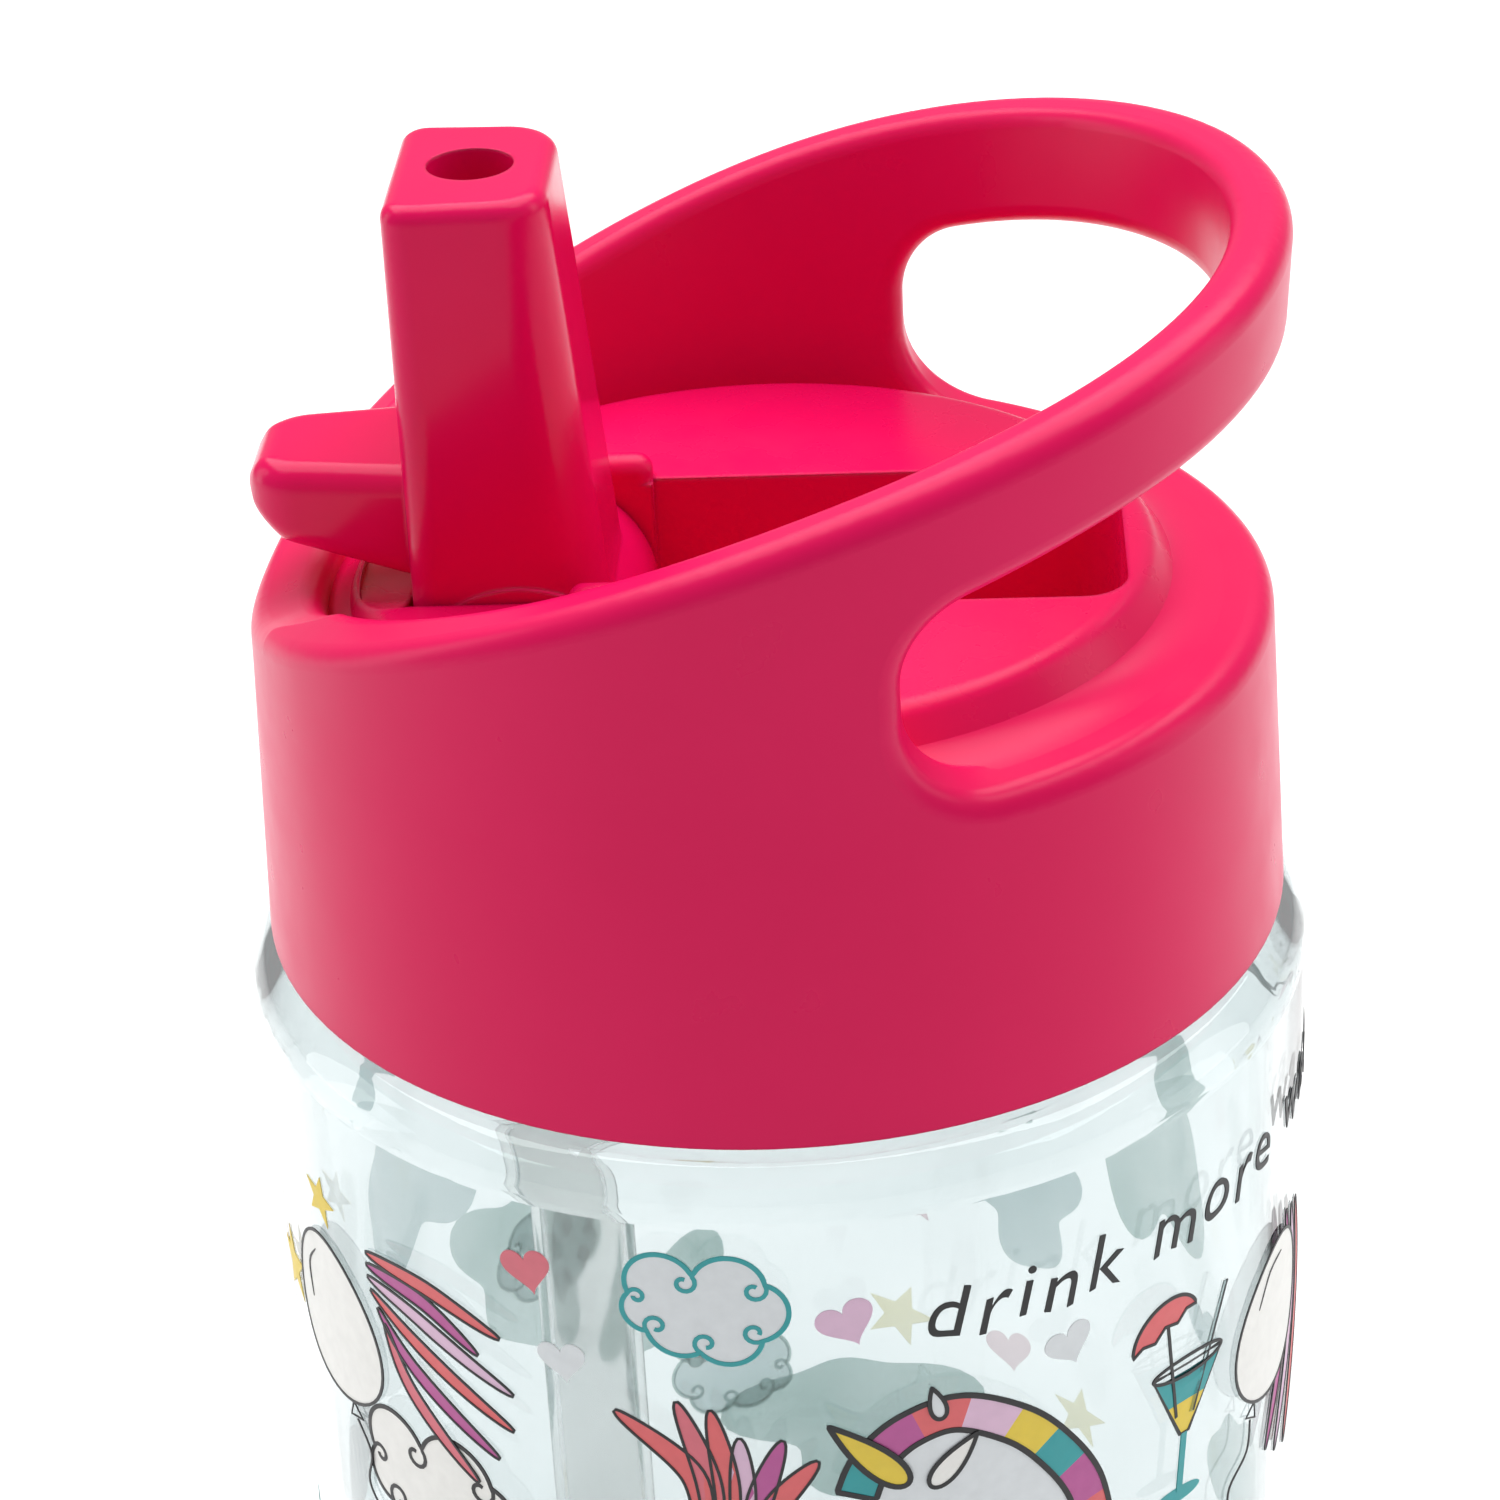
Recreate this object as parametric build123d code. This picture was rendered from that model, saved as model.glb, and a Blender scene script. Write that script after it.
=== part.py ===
from build123d import *
import math
import os

# Child's drinking bottle: a clear screw-neck bottle with a coloured screw lid.
# The lid has a slanted carry loop and a mouthpiece that flips up to drink.
# Origin: centre of the bottle's base. +Z up, +X towards the high end of the carry loop.
# The mouthpiece stands on the -X side and folds towards +X. Millimetres throughout.

# ---------------------------------------------------------------- driving sizes
LID_Z = 125.0                   # height of the lid's bottom rim above the table

# bottle
BODY_R = 36.7
BODY_WALL = 1.9
BODY_FLOOR = 2.8
HEEL_R = 6.0                    # rounding where the wall meets the base
FOOT_R = BODY_R - HEEL_R - 2    # inner edge of the ring that the bottle stands on
PUSH_UP = 2.6                   # how far the base is domed inwards
DOME_R = FOOT_R - 3             # where the dome meets the cone that rises from the foot
DOME_RIM_Z = PUSH_UP - 1.2
SHOULDER_Z = LID_Z - 0.9
SHOULDER_R = 3.4
SHOULDER_DROP = 1.9             # thickness of the shoulder at the neck
NECK_BORE_R = 26.4
NECK_R = 28.6
NECK_TOP_Z = LID_Z + 10.0
FOOT_EDGE_R = 1.5
NECK_ROOT_R = 0.8
NECK_EDGE_R = 0.5
SHOULDER_FALL = 0.8             # how much lower the shoulder's inside is at the wall
SHOULDER_INNER_R = 1.2          # roundings of the shoulder's inside, at the neck and at the wall
SHOULDER_WALL_R = 2.4

# screw thread, one ridge on the neck and one in the lid
THREAD_PITCH = 4.0
THREAD_DEPTH = 1.3
THREAD_TURNS = 1.25
THREAD_ROOT = 1.9               # width of a ridge at its root
THREAD_CREST = 0.86             # width of a ridge at its crest
THREAD_BURY = 0.3               # how far a ridge reaches into the wall that carries it
THREAD_Z = LID_Z + 2.6          # where the neck's ridge starts

# outer shell of the lid, with the carry loop
LID_R = 35.1
LID_WAIST_R = 34.15             # outside of the lid just below the ring
LID_WAIST_Z = LID_Z + 20.0
LOOP_R = 35.2                   # outside of the carry loop at its top
LOOP_INNER_R = 31.6             # inside of the uncut loop at its top
LOOP_FLARE = 0.02               # outward slope of its wall there
LOOP_ROOF_Z = LID_Z + 56.0      # the loop is cut from a wall of this height
LOOP_MID_R = 32.5               # between the outer and the inner edges of the loop's wall
LOOP_FRONT_Z = LID_Z + 21.2     # where the slanted top meets the front of the lid
LOOP_KNEE = (-28.2, LID_Z + 27.2)   # (x, z) where it levels out beside the mouthpiece
LOOP_STATIONS = (-12, 4, 20, 37)    # x of the points that the slanted top runs through
LOOP_RISE = (39.9, 10.5, -3.1, 0.6)     # its height above LID_Z, as powers of x / LOOP_UNIT
LOOP_UNIT = 30.0
SHELL_BORE_R = 32.6
RING_Z = LID_Z + 22.0           # flat ring around the deck
RING_THICK = 2.4
SEAM_R = 28.7                   # bore of the ring, where the deck shows
OUTER_EDGE_R = 1.7              # rounding of the outer edges of the loop and the ring
INNER_EDGE_R = 1.3              # rounding of their inner edges
TROUGH_R = 43.0                 # thumb trough in the front of the ring
TROUGH_SLOPE = 0.3
TROUGH_X = -30.0                # a point that the trough's lowest line runs through
TROUGH_Z = RING_Z + 2
TROUGH_LENGTH = 40.0
FINGER_X = 9.6                  # front end of the gap under the loop
FINGER_HEIGHT = 12.4            # height of the gap at its front end
FINGER_CORNER_R = 5.8
FINGER_REAR = (40.0, LID_Z + 40.8)  # (x, z) points of the gap's upper edge, which bows a little
FINGER_MIDDLE = (22.0, LID_Z + 38.0)

# deck that closes the lid, with the slot for the folded mouthpiece
DECK_TOP_Z = LID_Z + 25.2
DECK_TOP_R = 25.9
DECK_STEP_R = 27.6              # foot of the deck's sloping edge
DECK_STEP_Z = RING_Z + 0.7
DECK_EDGE_R = 1.4
DECK_STEP_EDGE_R = 0.5
DECK_R = 28.65
DECK_RIM_Z = RING_Z + 0.2
DECK_WALL = 1.8
DECK_INNER_R = 26.6
SEAT_Z = LID_Z + 11.6           # face that presses on the gasket
SKIRT_TOP_Z = RING_Z - RING_THICK
SKIRT_R = 32.4
SKIRT_WALL = 1.9
SKIRT_BORE_R = SKIRT_R - SKIRT_WALL
SKIRT_Z = LID_Z + 0.8
DISH_R = 22.0                   # ball-shaped hollow in front of the mouthpiece
DISH_X = -25.0
DISH_Z = LID_Z + 23.2
SLOT_HALF = 9.8
SLOT_END_X = 24.2
SLOT_FLOOR_Z = LID_Z + 13.4
SLOT_RAMP_X = 12.0              # the floor falls from here towards the hinge
SLOT_RAMP_DROP = 2.4
SLOT_CORNER_R = 3.0
PLUG_R = 25.6                   # what hangs below the seat stays inside this radius

# hinge of the mouthpiece
HINGE_X = -15.5
HINGE_Z = LID_Z + 18.0
DRUM_R = 8.0
DRUM_HALF = 8.5
DRUM_GAP = 0.3
WELL_WALL = 1.5
EAR_INNER = DRUM_HALF + DRUM_GAP
EAR_OUTER = 11.2
EAR_FRONT_X = -12.0
EAR_REAR_X = -7.6
EAR_RISE = 1.8                  # how far the ears stand above the deck
EAR_EDGE_R = 1.1
TRUNNION_R = 2.4
TRUNNION_GAP = 0.08
TRUNNION_HALF = 10.9

# mouthpiece
SPOUT_TOP_Z = LID_Z + 52.0
SPOUT_BASE_Z = LID_Z + 20.0
SPOUT_MOUTH_X = -17.2           # where the bore comes out
SPOUT_CORNER = 0.5              # how much narrower the rear of the mouthpiece is on each side
# front x, rear x, half width, rounding of the front corners and of the rear corners
SPOUT_FOOT = (-22.6, -9.3, 8.5, 2.2, 3.6)
SPOUT_MOUTH = (-22.3, -12.0, 7.9, 1.8, 3.6)
SPOUT_BORE_R = 2.8
SPOUT_LIP_R = 1.1
TAB_TIP_X = -33.3
TAB_TOP_Z = LID_Z + 33.4
TAB_TIP_HALF = 4.7
TAB_ROOT_HALF = 6.6
TAB_EDGE_R = 1.7
TAB_CORNER_R = 4.0
TAB_DEPTH = 14.0                # more than the tab's depth at its root
# corners of the tab's side view: how far behind the tip's front, and how far below the top
TAB_CORNERS = ((1.2, 0), (0, 1.6), (0.6, 4.0), (2.4, 5.6))
TAB_ROOT_X = HINGE_X - 4
TAB_ROOT_DROP = 8.6

# seals, straw and air valve
SEAL_GAP = 0.1
SEAL_THICK = 1.5
SEAL_HALF = 6.4
SEAL_REACH = 5.1                # short of where the folded mouthpiece's rear comes down
GASKET_THICK = 1.5
GASKET_INNER_R = 26.6
GASKET_R = 29.0                 # inside the crests of the lid's thread
STRAW_R = 3.75
STRAW_BORE_R = 2.8
STRAW_TOP_Z = LID_Z + 5.6
STRAW_END_Z = 8.0
STRAW_SLANT = 30.0              # slope of the lower end, so that the floor can't shut it
NIPPLE_R = 2.76
NIPPLE_BORE_R = 1.9
NIPPLE_END_Z = LID_Z - 3.0
VENT_X = 17.5
VENT_STEM_R = 1.2
VENT_DISC_R = 4.5
VENT_DISC_THICK = 0.9
VENT_HEAD_R = 1.8
VENT_HEAD_THICK = 0.5
AIR_HOLE_R = 0.7
AIR_HOLE_OFFSET = 2.8

FIT = 0.05                      # gap between pieces that are pushed together
PLENTY = 90.0                   # a cutter this long passes through everything


# ---------------------------------------------------------------- helpers
def turned(points, rounded=()):
    """Turn a closed (radius, height) outline about Z. rounded lists (radius, height, fillet)."""
    outline = make_face(Polyline(*points, close=True))
    for r, z, fillet_r in rounded:
        corner = min(outline.vertices(), key=lambda v: math.hypot(v.X - r, v.Y - z))
        outline = fillet(corner, fillet_r)
    return revolve(Plane.XZ * outline, axis=Axis.Z)


def along_y(outline, half):
    """Extrude an outline of (x, z) both ways along Y."""
    return extrude(Plane.XZ * outline, half, both=True)


def slab(points, half):
    """A prism along Y with corners at the given (x, z) points."""
    return along_y(make_face(Polyline(*points, close=True)), half)


def lying_cylinder(radius, half):
    """A cylinder along Y on the hinge's axis, centred on y = 0."""
    return Pos(HINGE_X, 0, HINGE_Z) * Rot(90, 0, 0) * Cylinder(radius, 2 * half)


def upright(radius, low, high, x=0):
    """A cylinder from height low to height high."""
    return Pos(x, 0, (low + high) / 2) * Cylinder(radius, high - low)


def thread(root_r, start_z, outward):
    """One right-handed ridge, outward on a neck or inward in a cap."""
    sign = 1 if outward else -1
    path = Helix(THREAD_PITCH, THREAD_PITCH * THREAD_TURNS, root_r)
    start = Plane(origin=path @ 0, x_dir=(1, 0, 0), z_dir=path % 0)
    foot = -sign * THREAD_BURY
    crest = sign * THREAD_DEPTH
    section = Polyline(
        (foot, -THREAD_ROOT / 2),
        (crest, -THREAD_CREST / 2),
        (crest, THREAD_CREST / 2),
        (foot, THREAD_ROOT / 2),
        close=True,
    )
    return Pos(0, 0, start_z) * sweep(start * make_face(section), path=path, is_frenet=True)


# ---------------------------------------------------------------- bottle
def bottle_body():
    inner_r = BODY_R - BODY_WALL
    points = [
        (0, PUSH_UP),
        (DOME_R, DOME_RIM_Z),
        (FOOT_R, 0),
        (BODY_R, 0),
        (BODY_R, SHOULDER_Z),
        (NECK_R, SHOULDER_Z),
        (NECK_R, NECK_TOP_Z),
        (NECK_BORE_R, NECK_TOP_Z),
        (NECK_BORE_R, SHOULDER_Z - SHOULDER_DROP),
        (inner_r, SHOULDER_Z - SHOULDER_DROP - SHOULDER_FALL),
        (inner_r, BODY_FLOOR),
        (FOOT_R, BODY_FLOOR),
        (DOME_R, BODY_FLOOR + DOME_RIM_Z),
        (0, BODY_FLOOR + PUSH_UP),
    ]
    rounded = [
        (FOOT_R, 0, FOOT_EDGE_R),
        (BODY_R, 0, HEEL_R),
        (BODY_R, SHOULDER_Z, SHOULDER_R),
        (NECK_R, SHOULDER_Z, NECK_ROOT_R),
        (NECK_R, NECK_TOP_Z, NECK_EDGE_R),
        (NECK_BORE_R, NECK_TOP_Z, NECK_EDGE_R),
        (NECK_BORE_R, SHOULDER_Z - SHOULDER_DROP, SHOULDER_INNER_R),
        (inner_r, SHOULDER_Z - SHOULDER_DROP - SHOULDER_FALL, SHOULDER_WALL_R),
        (inner_r, BODY_FLOOR, HEEL_R - BODY_WALL),
    ]
    return turned(points, rounded) + thread(NECK_R, THREAD_Z, True)


def lid_gasket():
    low = NECK_TOP_Z + FIT
    return Pos(0, 0, low + GASKET_THICK / 2) * (
        Cylinder(GASKET_R, GASKET_THICK) - Cylinder(GASKET_INNER_R, GASKET_THICK)
    )


# ---------------------------------------------------------------- lid shell with the carry loop
def loop_top(x):
    """Height of the carry loop's slanted top above x."""
    return LID_Z + sum(rise * (x / LOOP_UNIT) ** power for power, rise in enumerate(LOOP_RISE))


def above_loop():
    """Everything above the slanted top, which drops to the ring at the mouthpiece."""
    front = (-LID_R - 1, LOOP_FRONT_Z)
    curve = Spline(front, LOOP_KNEE, *[(x, loop_top(x)) for x in LOOP_STATIONS])
    roof = LOOP_ROOF_Z + 5
    rest = Polyline(curve @ 1, (LOOP_STATIONS[-1], roof), (front[0], roof), front)
    return along_y(make_face([curve, rest]), PLENTY / 2)


def thumb_trough():
    """Shallow trough in the front of the ring, under the thumb tab."""
    tilt = math.atan(TROUGH_SLOPE)
    bottom = Vector(TROUGH_X, 0, TROUGH_Z)
    centre = bottom + TROUGH_R * Vector(-math.sin(tilt), 0, math.cos(tilt))
    return Pos(*centre) * Rot(0, 90 - math.degrees(tilt), 0) * Cylinder(TROUGH_R, TROUGH_LENGTH)


def finger_gap():
    """The gap between the ring and the loop, open all round the rear."""
    low = (FINGER_X, RING_Z)
    front = (FINGER_X, RING_Z + FINGER_HEIGHT)
    top = ThreePointArc(FINGER_REAR, FINGER_MIDDLE, front)
    rest = Polyline(front, low, (FINGER_REAR[0], RING_Z), top @ 0)
    outline = make_face([top, rest])
    corners = outline.vertices().sort_by(Axis.X)[:2]
    return along_y(fillet(corners, FINGER_CORNER_R), PLENTY / 2)


def chain_at(shape, side):
    """The shell's free edges above the ring, on the outer or the inner side of its wall."""
    picked = []
    for edge in shape.edges():
        if edge.bounding_box().min.Z < RING_Z - 0.05:
            continue
        ends = [edge @ t for t in (0, 0.5, 1)]
        radii = [math.hypot(p.X, p.Y) for p in ends]
        on_mirror_plane = max(abs(p.Y) for p in ends) < 0.01
        wanted = min(radii) > LOOP_MID_R if side == "outer" else max(radii) < LOOP_MID_R
        if wanted and not on_mirror_plane:
            picked.append(edge)
    return picked


def lid_shell():
    outside = Spline(
        (LID_WAIST_R, LID_WAIST_Z),
        (LOOP_R, LOOP_ROOF_Z),
        tangents=[(LID_WAIST_R - LID_R, LID_WAIST_Z - LID_Z), (LOOP_FLARE, 1)],
    )
    rest = Polyline(
        (LOOP_R, LOOP_ROOF_Z),
        (LOOP_INNER_R, LOOP_ROOF_Z),
        (SEAM_R, RING_Z - RING_THICK),
        (SHELL_BORE_R, RING_Z - RING_THICK),
        (SHELL_BORE_R, LID_Z),
        (LID_R, LID_Z),
        (LID_WAIST_R, LID_WAIST_Z),
    )
    shell = revolve(Plane.XZ * make_face([outside, rest]), axis=Axis.Z)
    shell = shell - above_loop() - thumb_trough() - finger_gap()
    shell = fillet(chain_at(shell, "outer"), OUTER_EDGE_R)
    return fillet(chain_at(shell, "inner"), INNER_EDGE_R)


# ---------------------------------------------------------------- deck
def deck_cap():
    """The turned part: deck, seat and threaded skirt."""
    seat_top = SEAT_Z + DECK_WALL
    points = [
        (0, DECK_TOP_Z),
        (DECK_TOP_R, DECK_TOP_Z),
        (DECK_STEP_R, DECK_STEP_Z),
        (DECK_R, DECK_RIM_Z),
        (DECK_R, seat_top),
        (SKIRT_BORE_R, seat_top),
        (SKIRT_BORE_R, SKIRT_TOP_Z),
        (SKIRT_R, SKIRT_TOP_Z),
        (SKIRT_R, SKIRT_Z),
        (SKIRT_BORE_R, SKIRT_Z),
        (SKIRT_BORE_R, SEAT_Z),
        (DECK_INNER_R, SEAT_Z),
        (DECK_INNER_R, RING_Z),
        (DECK_TOP_R - DECK_WALL / 2, DECK_TOP_Z - DECK_WALL),
        (0, DECK_TOP_Z - DECK_WALL),
    ]
    rounded = [(DECK_TOP_R, DECK_TOP_Z, DECK_EDGE_R), (DECK_STEP_R, DECK_STEP_Z, DECK_STEP_EDGE_R)]
    return turned(points, rounded)


def slot_floor(drop):
    """The slot's floor line as (x, z) points, lowered by drop."""
    level = SLOT_FLOOR_Z - drop
    return [(HINGE_X + 2, level - SLOT_RAMP_DROP), (SLOT_RAMP_X, level), (SLOT_END_X + drop, level)]


def tub():
    """Walls and floor around the slot and the hinge, hanging below the deck."""
    half = SLOT_HALF + DECK_WALL
    high = DECK_TOP_Z - DECK_WALL / 2
    floor = slot_floor(DECK_WALL)
    front = HINGE_X - DRUM_R - DRUM_GAP - DECK_WALL
    walls = slab([(front, HINGE_Z), *floor, (floor[-1][0], high), (front, high)], half)
    well = lying_cylinder(DRUM_R + SEAL_GAP + SEAL_THICK + WELL_WALL, half)
    inside = upright(PLUG_R, LID_Z, SEAT_Z)
    inside = inside + upright(DECK_R - DECK_WALL / 2, SEAT_Z, RING_Z) + upright(DECK_TOP_R, RING_Z, high)
    return (walls + well) & inside


def slot():
    """The straight slot, with rounded corners at its rear end."""
    floor = slot_floor(0)
    roof = LOOP_ROOF_Z
    shape = slab([*floor, (SLOT_END_X, roof), (floor[0][0], roof)], SLOT_HALF)
    rear = [e for e in shape.edges().filter_by(Axis.Z) if e.center().X > SLOT_END_X - 1]
    shape = fillet(rear, SLOT_CORNER_R)
    return shape & Pos(EAR_REAR_X + PLENTY / 2, 0, LID_Z) * Box(PLENTY, PLENTY, PLENTY)


def hinge_well():
    """Room for the drum, for its swing and for the foot of the mouthpiece."""
    front = SPOUT_FOOT[0] - DRUM_GAP
    rear = EAR_REAR_X + 0.1
    roof = LOOP_ROOF_Z
    foot = slab([(front, HINGE_Z), (EAR_REAR_X, HINGE_Z), (EAR_REAR_X, roof), (front, roof)], EAR_INNER)
    floor = slot_floor(0)
    ramp = slab([floor[0], floor[1], (SLOT_RAMP_X, roof), (floor[0][0], roof)], EAR_INNER)
    ramp = ramp & Pos(rear - PLENTY / 2, 0, LID_Z) * Box(PLENTY, PLENTY, PLENTY)
    return lying_cylinder(DRUM_R + DRUM_GAP, EAR_INNER) + foot + ramp


def ear(side):
    """Bearing ear beside the drum, rounded on top."""
    low = DECK_TOP_Z - 1
    high = DECK_TOP_Z + EAR_RISE
    length = EAR_REAR_X - EAR_FRONT_X
    block = Box(length, EAR_OUTER - EAR_INNER, high - low)
    block = fillet(block.edges().filter_by(Axis.Z) + block.faces().sort_by(Axis.Z)[-1].edges(), EAR_EDGE_R)
    middle_y = side * (EAR_OUTER + EAR_INNER) / 2
    return Pos((EAR_REAR_X + EAR_FRONT_X) / 2, middle_y, (low + high) / 2) * block


def seal_blank(half, extra):
    """The curved bed under the drum: the seal's shape, or its recess when extra is added."""
    bed = lying_cylinder(DRUM_R + SEAL_GAP + SEAL_THICK + extra, half)
    reach = SEAL_REACH + extra
    low = HINGE_Z - DRUM_R - 4
    return bed & Pos(HINGE_X, 0, (low + HINGE_Z) / 2) * Box(2 * reach, 2 * half, HINGE_Z - low)


def lid_deck():
    deck = deck_cap() + tub()
    well_floor = HINGE_Z - DRUM_R - SEAL_GAP - SEAL_THICK
    deck = deck + upright(NIPPLE_R, NIPPLE_END_Z, well_floor - 0.5, HINGE_X)
    deck = deck - slot() - hinge_well() - seal_blank(SEAL_HALF + FIT, FIT)
    deck = deck - Pos(DISH_X, 0, DISH_Z + DISH_R) * Sphere(DISH_R)
    deck = deck + ear(1) + ear(-1)
    deck = deck - lying_cylinder(TRUNNION_R + TRUNNION_GAP, TRUNNION_HALF + 0.2)
    deck = deck - upright(NIPPLE_BORE_R, NIPPLE_END_Z, HINGE_Z, HINGE_X)
    deck = deck - upright(VENT_STEM_R + FIT, SEAT_Z - 1, SLOT_FLOOR_Z + 1, VENT_X)
    for offset in (-AIR_HOLE_OFFSET, AIR_HOLE_OFFSET):
        deck = deck - Pos(0, offset, 0) * upright(AIR_HOLE_R, SEAT_Z - 1, SLOT_FLOOR_Z + 1, VENT_X)
    return deck + thread(SKIRT_BORE_R, THREAD_Z + THREAD_PITCH / 2, False)


# ---------------------------------------------------------------- mouthpiece
def spout_section(z, x_front, x_rear, half, front_r, rear_r):
    """Level section of the mouthpiece, flatter towards the thumb and rounder to the rear."""
    rear_half = half - SPOUT_CORNER
    corners = [(x_front, -half), (x_rear, -rear_half), (x_rear, rear_half), (x_front, half)]
    outline = make_face(Polyline(*corners, close=True))
    outline = fillet(outline.vertices().sort_by(Axis.X)[:2], front_r)
    outline = fillet([v for v in outline.vertices() if abs(v.X - x_rear) < 0.01], rear_r)
    return Pos(0, 0, z) * outline


def thumb_tab():
    """Wedge that a thumb pushes to open the mouthpiece."""
    nose = [(TAB_TIP_X + back, TAB_TOP_Z - drop) for back, drop in TAB_CORNERS]
    side = slab([(TAB_ROOT_X, TAB_TOP_Z), *nose, (TAB_ROOT_X, TAB_TOP_Z - TAB_ROOT_DROP)], SLOT_HALF)
    corners = [
        (TAB_ROOT_X, -TAB_ROOT_HALF),
        (TAB_ROOT_X, TAB_ROOT_HALF),
        (TAB_TIP_X, TAB_TIP_HALF),
        (TAB_TIP_X, -TAB_TIP_HALF),
    ]
    plan = make_face(Polyline(*corners, close=True))
    plan = fillet(plan.vertices().sort_by(Axis.X)[:2], TAB_CORNER_R)
    wedge = side & extrude(Pos(0, 0, TAB_TOP_Z - TAB_DEPTH + 1) * plan, TAB_DEPTH)
    free = [e for e in wedge.edges() if e.center().X < TAB_ROOT_X - 0.5]
    along = [e for e in free if abs((e @ 0).Z - (e @ 1).Z) < 0.6 * e.length]
    return fillet(along, TAB_EDGE_R)


def spout():
    stem = loft([spout_section(SPOUT_BASE_Z, *SPOUT_FOOT), spout_section(SPOUT_TOP_Z, *SPOUT_MOUTH)])
    stem = fillet(stem.faces().sort_by(Axis.Z)[-1].edges(), SPOUT_LIP_R)
    whole = stem + lying_cylinder(DRUM_R, DRUM_HALF) + thumb_tab()
    whole = whole + lying_cylinder(TRUNNION_R, TRUNNION_HALF)
    low = Vector(HINGE_X, 0, HINGE_Z - DRUM_R - 1)
    high = Vector(SPOUT_MOUTH_X, 0, SPOUT_TOP_Z + 1)
    bore = Plane(origin=low, z_dir=high - low)
    return whole - extrude(bore * Circle(SPOUT_BORE_R), (high - low).length)


def spout_seal():
    seal = seal_blank(SEAL_HALF, 0) - lying_cylinder(DRUM_R + SEAL_GAP, PLENTY / 2)
    return seal - upright(SPOUT_BORE_R, LID_Z, HINGE_Z, HINGE_X)


# ---------------------------------------------------------------- straw and air valve
def straw():
    tube = upright(STRAW_R, STRAW_END_Z, STRAW_TOP_Z, HINGE_X)
    tube = tube - upright(STRAW_BORE_R, STRAW_END_Z, STRAW_TOP_Z, HINGE_X)
    slant = Pos(HINGE_X + STRAW_R, 0, STRAW_END_Z) * Rot(0, STRAW_SLANT, 0) * Box(
        8 * STRAW_R, PLENTY, 2 * STRAW_R
    )
    return tube - slant


def vent_valve():
    low = SEAT_Z - VENT_DISC_THICK
    disc = upright(VENT_DISC_R, low, SEAT_Z - FIT, VENT_X)
    stem = upright(VENT_STEM_R, low, SLOT_FLOOR_Z + VENT_HEAD_THICK, VENT_X)
    head = upright(VENT_HEAD_R, SLOT_FLOOR_Z + FIT, SLOT_FLOOR_Z + FIT + VENT_HEAD_THICK, VENT_X)
    return disc + stem + head


NODES = {
    "bottle_body": bottle_body,
    "lid_shell": lid_shell,
    "lid_deck": lid_deck,
    "lid_gasket": lid_gasket,
    "spout": spout,
    "spout_seal": spout_seal,
    "straw": straw,
    "vent_valve": vent_valve,
}

os.makedirs("parts", exist_ok=True)
for name, make in NODES.items():
    export_step(make(), f"parts/{name}.step")
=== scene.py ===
"""Looks of a child's clear drinking bottle with a coloured flip-spout lid and a printed wall.

Lengths in the print's drawings are millimetres; Blender's own lengths are metres.
The lid, the bottle and the straw are the CAD nodes with their materials. The picture on the wall
is built here as thin closed shapes of ink wrapped round the bottle, and one turned ring makes the
soft hollow between the deck and the ring of the lid.
"""

import math
import random

import bpy
from mathutils import Matrix, Vector
from mathutils.geometry import delaunay_2d_cdt


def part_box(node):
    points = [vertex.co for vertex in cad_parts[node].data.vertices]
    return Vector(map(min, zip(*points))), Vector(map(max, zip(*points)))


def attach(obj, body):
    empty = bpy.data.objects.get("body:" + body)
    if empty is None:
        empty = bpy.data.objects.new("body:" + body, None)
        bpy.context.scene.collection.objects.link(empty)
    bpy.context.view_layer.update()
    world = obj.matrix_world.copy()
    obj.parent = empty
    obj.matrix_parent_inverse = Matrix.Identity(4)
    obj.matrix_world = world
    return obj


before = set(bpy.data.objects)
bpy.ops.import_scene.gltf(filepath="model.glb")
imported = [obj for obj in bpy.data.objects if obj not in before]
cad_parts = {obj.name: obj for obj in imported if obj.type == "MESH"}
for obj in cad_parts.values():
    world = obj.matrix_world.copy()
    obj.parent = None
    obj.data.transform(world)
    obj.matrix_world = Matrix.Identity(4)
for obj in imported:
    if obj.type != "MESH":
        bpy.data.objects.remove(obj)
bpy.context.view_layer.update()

MM = 0.001
RIM_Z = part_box("lid_shell")[0].z / MM          # the lid's lower rim
WALL_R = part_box("bottle_body")[1].x / MM       # outside of the clear wall
random.seed(7)


# ------------------------------------------------------------------ node helpers
def new_material(name):
    """A material with its Principled shader; returns (material, nodes, links, shader)."""
    material = bpy.data.materials.new(name)
    material.use_nodes = True
    tree = material.node_tree
    return material, tree.nodes, tree.links, tree.nodes["Principled BSDF"]


def noise(nodes, links, scale, detail=2.0, stretch=(1, 1, 1)):
    """A noise texture in object space, in cells per metre along each axis; returns its factor output."""
    where = nodes.new("ShaderNodeTexCoord")
    mapping = nodes.new("ShaderNodeMapping")
    mapping.inputs["Scale"].default_value = stretch
    texture = nodes.new("ShaderNodeTexNoise")
    texture.inputs["Scale"].default_value = scale
    texture.inputs["Detail"].default_value = detail
    links.new(where.outputs["Object"], mapping.inputs["Vector"])
    links.new(mapping.outputs["Vector"], texture.inputs["Vector"])
    return texture.outputs["Fac"]


NOISE_LOW, NOISE_HIGH = 0.25, 0.75      # range that a noise texture's factor mostly keeps to


def spread(nodes, links, factor, low, high):
    """Map a noise factor's middle range to low..high."""
    remap = nodes.new("ShaderNodeMapRange")
    remap.clamp = False
    remap.inputs["From Min"].default_value = NOISE_LOW
    remap.inputs["From Max"].default_value = NOISE_HIGH
    remap.inputs["To Min"].default_value = low
    remap.inputs["To Max"].default_value = high
    links.new(factor, remap.inputs["Value"])
    return remap.outputs["Result"]


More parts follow.
